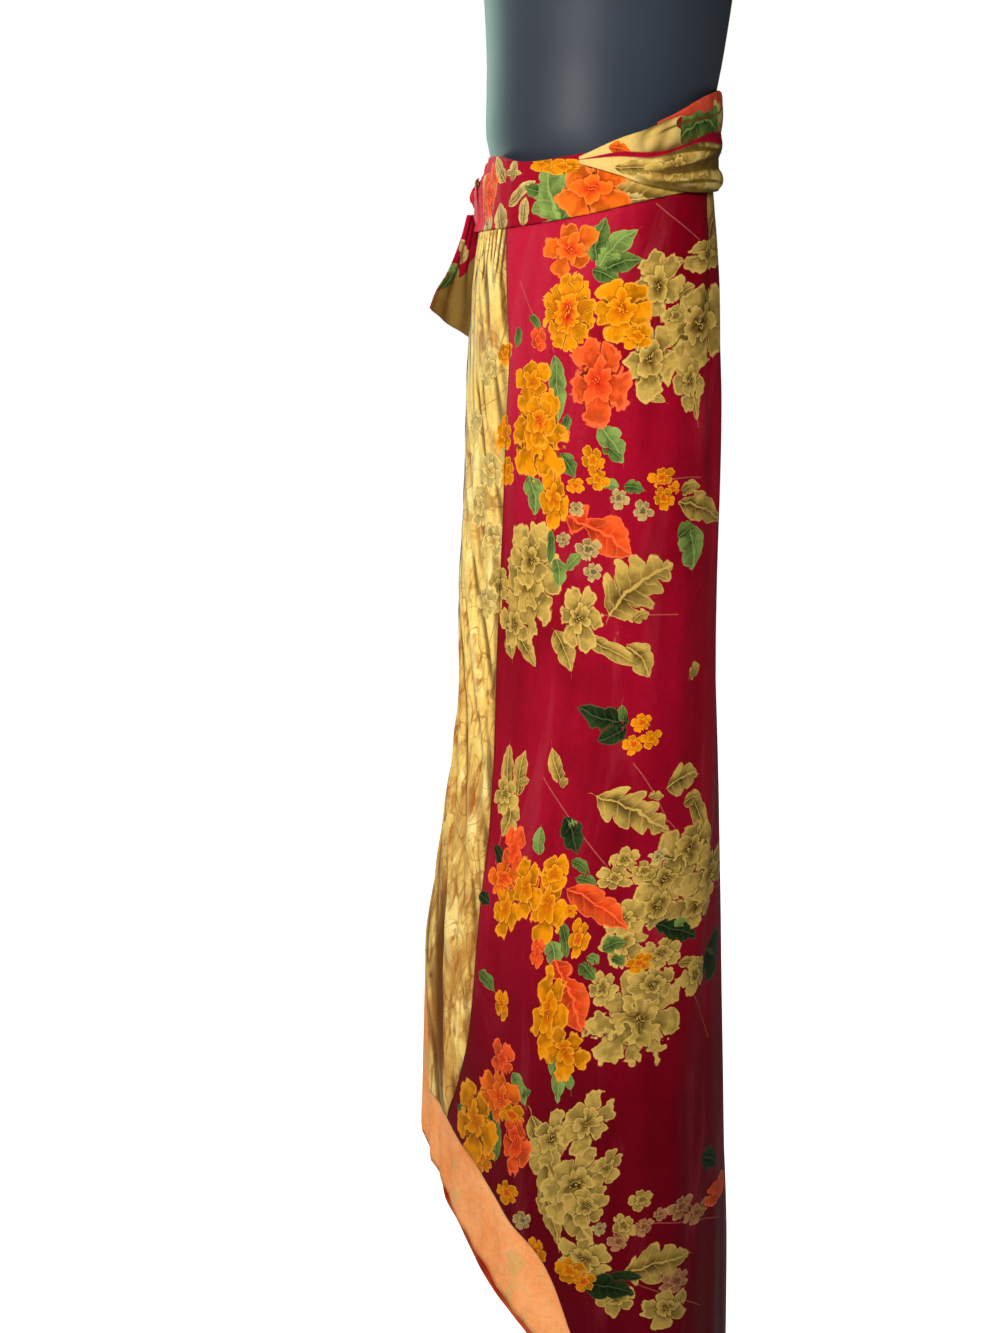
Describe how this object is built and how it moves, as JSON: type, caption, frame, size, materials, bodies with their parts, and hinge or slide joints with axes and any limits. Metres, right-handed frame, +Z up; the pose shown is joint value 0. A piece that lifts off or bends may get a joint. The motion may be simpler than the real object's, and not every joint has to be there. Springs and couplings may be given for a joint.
{
  "type": "wrap skirt on a limbless display torso",
  "caption": "Full-length wrap skirt of printed silk over a longer inner layer, tied at the waist, on a smooth limbless display torso with a pole and round base.",
  "frame": {"origin": "on the floor, on the flat underside of the round base, under the middle of the form", "axes": "+Z up, the wearer would face -Y, the wearer's left is +X; the free front edge lies at the wearer's right front"},
  "size_m": [0.3448, 0.31, 1.5893],
  "materials": {
    "crimson_print_silk": "satin silk with a floral print",
    "gold_border_silk": "crinkled gold woven border",
    "peach_inner_silk": "orange-peach silk with faint pale leaf outlines",
    "band_print_silk": "printed silk, folded band",
    "tie_print_silk": "printed silk tie, creased",
    "tie_reverse_silk": "orange-red silk, the tie's reverse",
    "dark_form_gloss": "glossy dark lacquered fibreglass",
    "brushed_steel_trim": "brushed",
    "black_base_paint": "satin black"
  },
  "bodies": {
    "root": {"outer_panel": "crimson_print_silk", "front_border": "gold_border_silk", "inner_panel": "peach_inner_silk", "waistband": "band_print_silk", "tie_wrap": "tie_print_silk", "tie_fold": "tie_reverse_silk", "tie_short": "band_print_silk", "knot": "tie_print_silk", "tie_end_front": "tie_print_silk", "tie_end_back": "tie_print_silk", "display_torso": "dark_form_gloss", "neck_cap": "brushed_steel_trim", "stand_pole": "brushed_steel_trim", "stand_base": "black_base_paint"}
  },
  "joints": []
}
